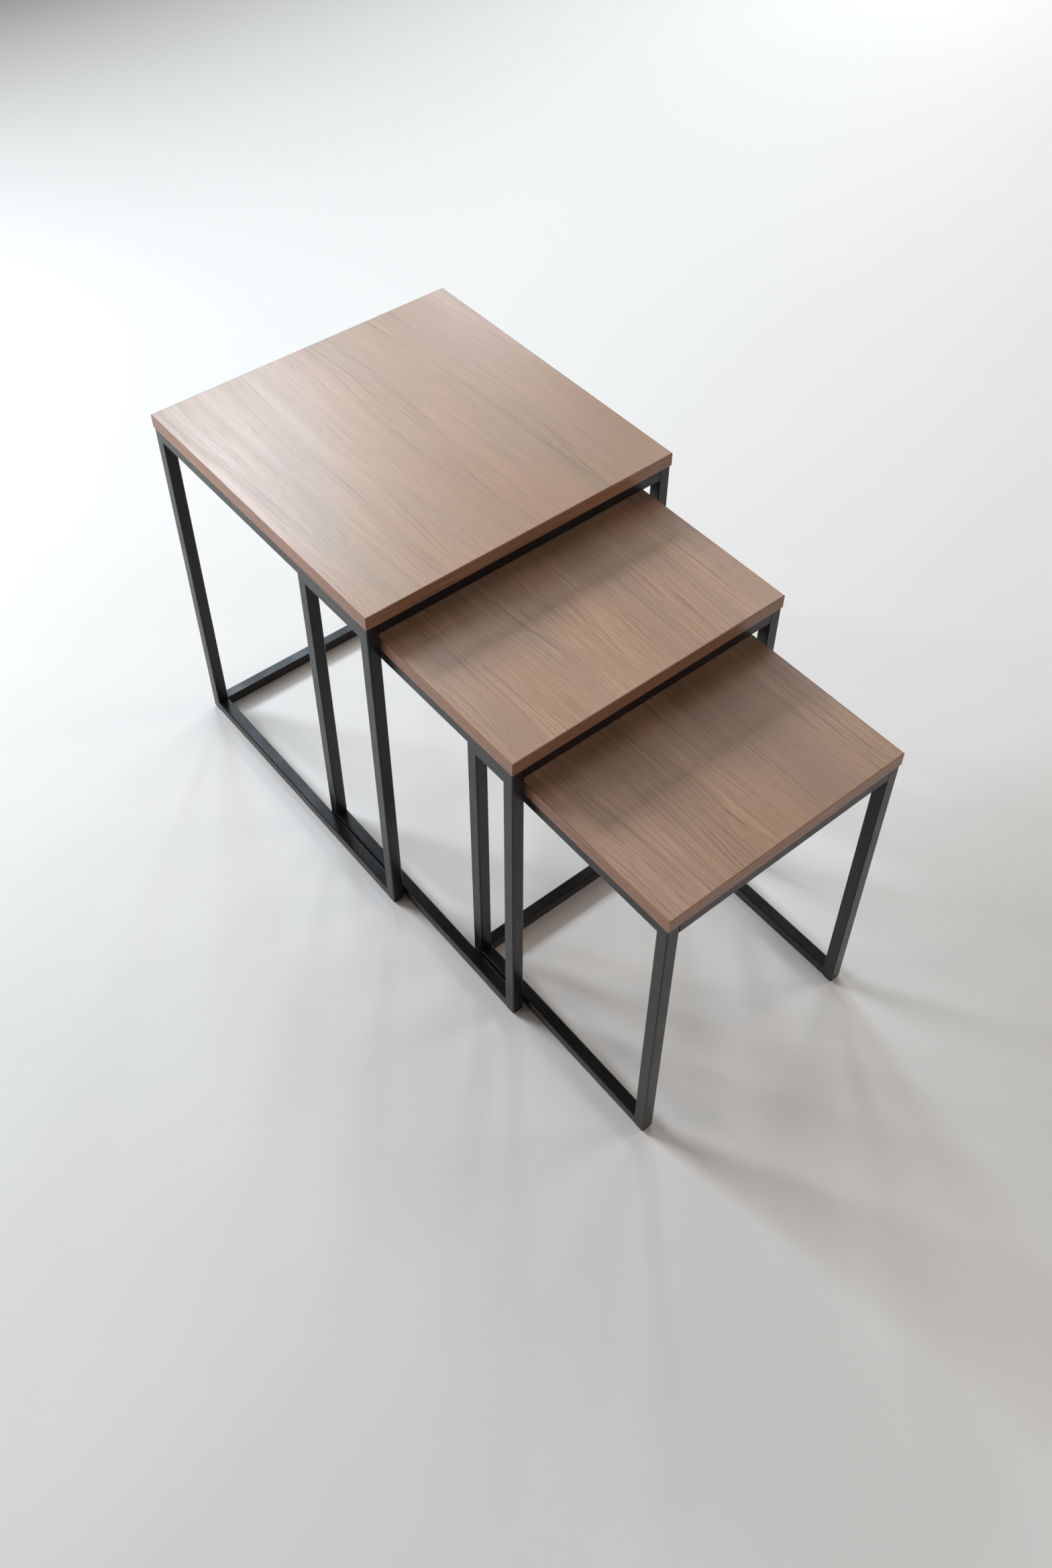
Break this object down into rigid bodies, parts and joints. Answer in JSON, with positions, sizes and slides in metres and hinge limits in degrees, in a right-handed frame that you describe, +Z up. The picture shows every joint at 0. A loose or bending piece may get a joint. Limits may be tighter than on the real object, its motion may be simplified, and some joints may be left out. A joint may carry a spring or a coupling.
{
  "type": "nesting tables",
  "caption": "Nest of open-frame side tables in black square steel tube with wood-look boards, each sliding under the next larger one.",
  "frame": {"origin": "on the floor, in the middle of the whole set's footprint as it stands drawn out", "axes": "+X to the right of the set seen from its front, +Y from the small table at the front to the large table at the back, +Z up"},
  "size_m": [0.5, 1.0084, 0.595],
  "materials": {
    "black_steel": "satin black powder coat on square steel tube",
    "walnut_top": "grey-brown walnut-look laminate with a fine straight grain, satin",
    "walnut_edge": "edge banding in the same walnut look, grain along the edge",
    "board_core": "chipboard with a plain grey-brown backing paper underneath, closed in by laminate and banding",
    "glide": "moulded black plastic",
    "screw": "zinc-plated steel"
  },
  "bodies": {
    "large_table": {"large_back_bottom_rail": "black_steel", "large_back_left_leg": "black_steel", "large_back_right_leg": "black_steel", "large_back_top_rail": "black_steel", "large_board_core": "board_core", "large_corner_tabs": "black_steel", "large_front_back_bands": "walnut_edge", "large_front_left_leg": "black_steel", "large_front_right_leg": "black_steel", "large_front_top_rail": "black_steel", "large_glides": "glide", "large_left_bottom_rail": "black_steel", "large_left_top_rail": "black_steel", "large_right_bottom_rail": "black_steel", "large_right_top_rail": "black_steel", "large_screws": "screw", "large_side_bands": "walnut_edge", "large_top_laminate": "walnut_top"},
    "middle_table": {"middle_back_left_leg": "black_steel", "middle_back_right_leg": "black_steel", "middle_back_top_rail": "black_steel", "middle_board_core": "board_core", "middle_corner_tabs": "black_steel", "middle_front_back_bands": "walnut_edge", "middle_front_left_leg": "black_steel", "middle_front_right_leg": "black_steel", "middle_front_top_rail": "black_steel", "middle_glides": "glide", "middle_left_bottom_rail": "black_steel", "middle_left_top_rail": "black_steel", "middle_right_bottom_rail": "black_steel", "middle_right_top_rail": "black_steel", "middle_screws": "screw", "middle_side_bands": "walnut_edge", "middle_top_laminate": "walnut_top"},
    "small_table": {"small_back_bottom_rail": "black_steel", "small_back_left_leg": "black_steel", "small_back_right_leg": "black_steel", "small_back_top_rail": "black_steel", "small_board_core": "board_core", "small_corner_tabs": "black_steel", "small_front_back_bands": "walnut_edge", "small_front_left_leg": "black_steel", "small_front_right_leg": "black_steel", "small_front_top_rail": "black_steel", "small_glides": "glide", "small_left_bottom_rail": "black_steel", "small_left_top_rail": "black_steel", "small_right_bottom_rail": "black_steel", "small_right_top_rail": "black_steel", "small_screws": "screw", "small_side_bands": "walnut_edge", "small_top_laminate": "walnut_top"}
  },
  "joints": [
    {"name": "middle_table_slide", "type": "slide", "parent": "large_table", "child": "middle_table", "axis": [0, 1, 0], "range_m": [-0.245, 0.296]},
    {"name": "small_table_slide", "type": "slide", "parent": "middle_table", "child": "small_table", "axis": [0, 1, 0], "range_m": [-0.1685, 0.2435]}
  ]
}
